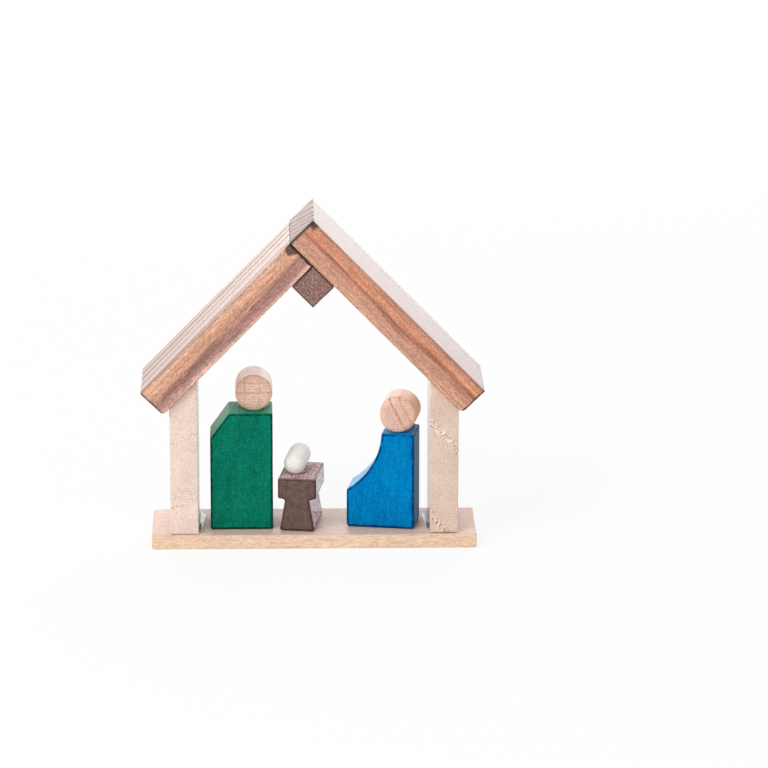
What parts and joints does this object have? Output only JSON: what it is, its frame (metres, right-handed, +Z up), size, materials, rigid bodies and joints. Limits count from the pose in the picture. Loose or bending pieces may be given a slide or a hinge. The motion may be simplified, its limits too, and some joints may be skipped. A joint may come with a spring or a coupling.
{
  "type": "wooden nativity stable",
  "caption": "Miniature open wooden nativity stable with a gable roof on posts and a base plate, holding a standing figure, a kneeling figure and a manger with an infant that lift out.",
  "frame": {"origin": "middle of the base plate's underside", "axes": "+X to the right as seen from the open front, +Y to the back, +Z up"},
  "size_m": [0.0599, 0.017, 0.059],
  "materials": {
    "pale_wood": "sanded, uncoated",
    "brown_wood": "dark heat-treated, brushed grain",
    "grey_brown_wood": "stained, matt",
    "clear_glue": "clear, glossy",
    "green_stained_wood": "stained, matt",
    "blue_stained_wood": "stained, matt",
    "dowel_wood": "sanded, uncoated",
    "dark_stained_wood": "stained, matt",
    "white_painted_wood": "thin matt white paint"
  },
  "bodies": {
    "stable": {"base_plate": "pale_wood", "left_post": "pale_wood", "right_post": "pale_wood", "left_roof_board": "brown_wood", "right_roof_board": "brown_wood", "ridge_beam": "grey_brown_wood", "left_foot_glue": "clear_glue", "right_foot_glue": "clear_glue"},
    "standing_figure": {"standing_figure_body": "green_stained_wood", "standing_figure_head": "dowel_wood"},
    "kneeling_figure": {"kneeling_figure_body": "blue_stained_wood", "kneeling_figure_head": "dowel_wood"},
    "manger_group": {"manger": "dark_stained_wood", "infant": "white_painted_wood"}
  },
  "joints": [
    {"name": "standing_figure_out", "type": "slide", "parent": "stable", "child": "standing_figure", "axis": [0, -1, 0], "range_m": [0, 0.02]},
    {"name": "kneeling_figure_out", "type": "slide", "parent": "stable", "child": "kneeling_figure", "axis": [0, -1, 0], "range_m": [0, 0.02]},
    {"name": "manger_out", "type": "slide", "parent": "stable", "child": "manger_group", "axis": [0, -1, 0], "range_m": [0, 0.02]}
  ]
}
